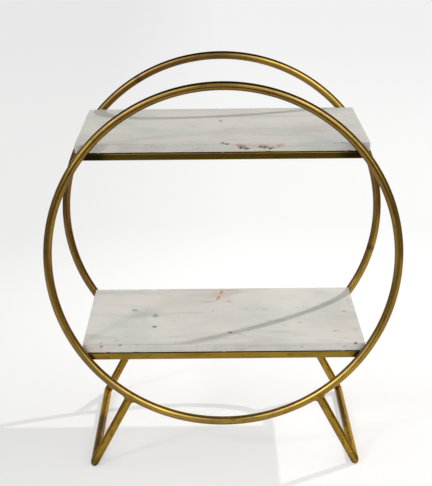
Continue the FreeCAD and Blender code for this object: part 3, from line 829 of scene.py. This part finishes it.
# the background's own white is painted dimmer towards the left and far away: painted shade across the floor
sideways = addNode(tree, "ShaderNodeSeparateXYZ", {"Vector": place}).outputs["X"]
grade = spread(tree, sideways, *floorLook["grade"], floorLook["leftWhite"], 1.0)
fall = spread(tree, away, *floorLook["fallReach"], 1.0, floorLook["farFall"])
strength = addNode(tree, "ShaderNodeMix", {
    0: horizon, 2: reckon(tree, "MULTIPLY", grade, fall), 3: floorLook["horizonWhite"]}, data_type="FLOAT")
white = addNode(tree, "ShaderNodeEmission", {"Color": linear("FFFFFF"), "Strength": strength.outputs[0]})
both = addNode(tree, "ShaderNodeMixShader", {
    0: share, 1: shader.outputs["BSDF"], 2: white.outputs["Emission"]})
surface = next(node for node in tree.nodes if node.type == "OUTPUT_MATERIAL")
plug(tree, surface, {"Surface": both.outputs["Shader"]})
mesh = bmesh.new()
bmesh.ops.create_grid(mesh, x_segments=1, y_segments=1, size=floorLook["size"] / 2)
floor = linkMesh("studio_floor", mesh, floorPaint)

# Studio: a small lamp behind on the right gives the crisp pale shadows, and wide soft lights do the rest.
# Shine lights show in the metal alone, as two boxes, a glow in front and a faint one behind.
# Fill lights brighten stone and floor alone.
keyLamp = {"place": (1.718, 1.616, 2.168), "aim": (0, 0, 0.25), "size": 0.06, "power": 55}
lightColour = {"shine": "D6E4FF", "fill": "FFFFFF"}  # daylight in the boxes
softLights = {  # azimuth from the front towards the right, elevation and width of the glow, in degrees
    "left_softbox": {"azimuth": -45, "elevation": 34, "width": 54, "strength": 1.8, "use": "shine"},
    "right_softbox": {"azimuth": 38, "elevation": 32, "width": 54, "strength": 1.75, "use": "shine"},
    "left_hot_middle": {"azimuth": -44, "elevation": 36, "width": 18, "strength": 0.4, "use": "shine"},
    "right_hot_middle": {"azimuth": 36, "elevation": 34, "width": 18, "strength": 0.4, "use": "shine"},
    "front_glow": {"azimuth": 0, "elevation": 32, "width": 84, "strength": 1.35, "use": "shine"},
    "right_rear_glow": {"azimuth": 158, "elevation": 10, "width": 36, "strength": 0.2, "use": "shine"},
    "left_front_fill": {"azimuth": -42, "elevation": 33, "width": 9, "strength": 0.72, "use": "fill"},
    "right_front_fill": {"azimuth": 37, "elevation": 31, "width": 36, "strength": 0.4, "use": "fill"},
    "left_fill": {"azimuth": -95, "elevation": 40, "width": 60, "strength": 0.84, "use": "fill"},
    "right_fill": {"azimuth": 85, "elevation": 40, "width": 60, "strength": 0.84, "use": "fill"},
    "rear_fill": {"azimuth": 180, "elevation": 60, "width": 70, "strength": 0.2, "use": "fill"},
}


def addLamp(name, kind, energy):
    lamp = bpy.data.lights.new(name, kind)
    lamp.energy = energy
    holder = bpy.data.objects.new(name, lamp)
    scene.collection.objects.link(holder)
    return lamp, holder


lamp, holder = addLamp("small_key", "AREA", keyLamp["power"])
lamp.shape = "DISK"
lamp.size = keyLamp["size"]
holder.location = keyLamp["place"]
holder.rotation_euler = (Vector(keyLamp["aim"]) - holder.location).to_track_quat("-Z", "Y").to_euler()
holder.visible_glossy = False
for name, spec in softLights.items():
    lamp, holder = addLamp(name, "SUN", spec["strength"])
    lamp.angle = math.radians(spec["width"])
    lamp.color = linear(lightColour[spec["use"]])[:3]
    holder.rotation_euler = (math.radians(90 - spec["elevation"]), 0, math.radians(spec["azimuth"]))
    holder.visible_glossy = spec["use"] == "shine"
    holder.visible_diffuse = spec["use"] == "fill"

# The metal sees the pale floor only as wide as a roll of paper: grey card lies and stands round it, out of
# the picture, darker towards the camera, and only reflections find it
cardLook = {
    "colour": "8E8C89", "fleck": "989693", "fleckSize": 80, "roughness": 0.9,  # mm
    "dim": "403F3D", "dimFrom": (-2.2, -1.5),  # m
    "front": -0.86, "side": 1.15, "far": 4.5, "lift": 0.002, "tall": 0.6,
}
cardPaper, tree, shader = newMaterial("dark_card")
place = addNode(tree, "ShaderNodeTexCoord").outputs["Object"]
fleck = addNoise(tree, place, cardLook["fleckSize"])
cardTone = blend(tree, fleck, linear(cardLook["colour"]), linear(cardLook["fleck"]))
forward = addNode(tree, "ShaderNodeSeparateXYZ", {"Vector": place}).outputs["Y"]
cardTone = blend(tree, spread(tree, forward, *cardLook["dimFrom"]), linear(cardLook["dim"]), cardTone)
plug(tree, shader, {"Base Color": cardTone, "Roughness": cardLook["roughness"]})
mesh = bmesh.new()
far, edge, front, tall = cardLook["far"], cardLook["side"], cardLook["front"], cardLook["tall"]
for x0, x1, y0, y1 in ((-far, far, -far, front), (-far, -edge, front, far), (edge, far, front, far)):
    lay = Matrix.Translation(((x0 + x1) / 2, (y0 + y1) / 2, cardLook["lift"]))
    lay = lay @ Matrix.Diagonal((x1 - x0, y1 - y0, 1, 1))
    bmesh.ops.create_grid(mesh, x_segments=1, y_segments=1, size=0.5, matrix=lay)
for x in (-edge, edge):  # a card stands on each side
    stand = Matrix.Translation((x, 0, tall / 2)) @ Matrix.Rotation(math.pi / 2, 4, "Y")
    stand = stand @ Matrix.Diagonal((tall, -2 * front, 1, 1))
    bmesh.ops.create_grid(mesh, x_segments=1, y_segments=1, size=0.5, matrix=stand)
card = linkMesh("dark_card", mesh, cardPaper)
card.visible_camera = card.visible_diffuse = card.visible_shadow = False

# The room: a pale rim round the horizon, dim walls and a grey ceiling in front, a backdrop and a dark ceiling
# behind. Heights are the sine of the elevation.
roomLook = {
    "front": {"rim": "E4E4E4", "wall": "5C5C5C", "ceiling": "888888", "rimTop": 0.1},
    "rear": {"rim": "DADADA", "wall": "585858", "ceiling": "383838", "rimTop": 0.42},
    "rimFade": 0.08, "wallTop": 0.52, "ceiling": (0.62, 0.8), "zenith": 0.93, "zenithColour": "383838",
    "turn": (-0.1, 0.45),  # along Y, where the front passes into the rear
}
world = bpy.data.worlds.new("studio_room")
scene.world = world
world.use_nodes = True
tree = world.node_tree
tree.nodes.clear()
direction = addNode(tree, "ShaderNodeTexCoord").outputs["Generated"]
split = addNode(tree, "ShaderNodeSeparateXYZ", {"Vector": direction}).outputs
halves = {}
for part in ("front", "rear"):
    half = roomLook[part]
    rim, wall, ceiling = [linear(half[tone]) for tone in ("rim", "wall", "ceiling")]
    stops = [(0.0, rim), (half["rimTop"], rim), (half["rimTop"] + roomLook["rimFade"], wall),
             (roomLook["wallTop"], wall),
             (roomLook["ceiling"][0], ceiling), (roomLook["ceiling"][1], ceiling),
             (roomLook["zenith"], linear(roomLook["zenithColour"]))]
    halves[part] = addNode(tree, "ShaderNodeValToRGB", {"Fac": split["Z"]}, stops=stops).outputs["Color"]
room = blend(tree, spread(tree, split["Y"], *roomLook["turn"]), halves["front"], halves["rear"])
glow = addNode(tree, "ShaderNodeBackground", {"Color": room, "Strength": 1.0})
# seen directly, the room has the floor's far white, so no line shows where they meet
paper = addNode(tree, "ShaderNodeBackground", {
    "Color": linear("FFFFFF"), "Strength": floorLook["horizonWhite"]})
direct = addNode(tree, "ShaderNodeLightPath").outputs["Is Camera Ray"]
both = addNode(tree, "ShaderNodeMixShader", {0: direct, 1: glow.outputs[0], 2: paper.outputs[0]})
addNode(tree, "ShaderNodeOutputWorld", {"Surface": both.outputs[0]})
print("studio lit")

# Camera where the photograph was taken from: the lens in mm on a 36 mm long side
cameraSpec = {"place": (-0.0148, -1.9728, 0.9225), "turn": (72.793, 0.473, -0.279),
              "lens": 98.21, "sensor": 36, "reach": 100}
lens = bpy.data.cameras.new("camera")
lens.lens = cameraSpec["lens"]
lens.sensor_width = cameraSpec["sensor"]
lens.clip_end = cameraSpec["reach"]
camera = bpy.data.objects.new("camera", lens)
camera.location = cameraSpec["place"]
camera.rotation_euler = [math.radians(a) for a in cameraSpec["turn"]]
scene.collection.objects.link(camera)
scene.camera = camera
print("camera set")
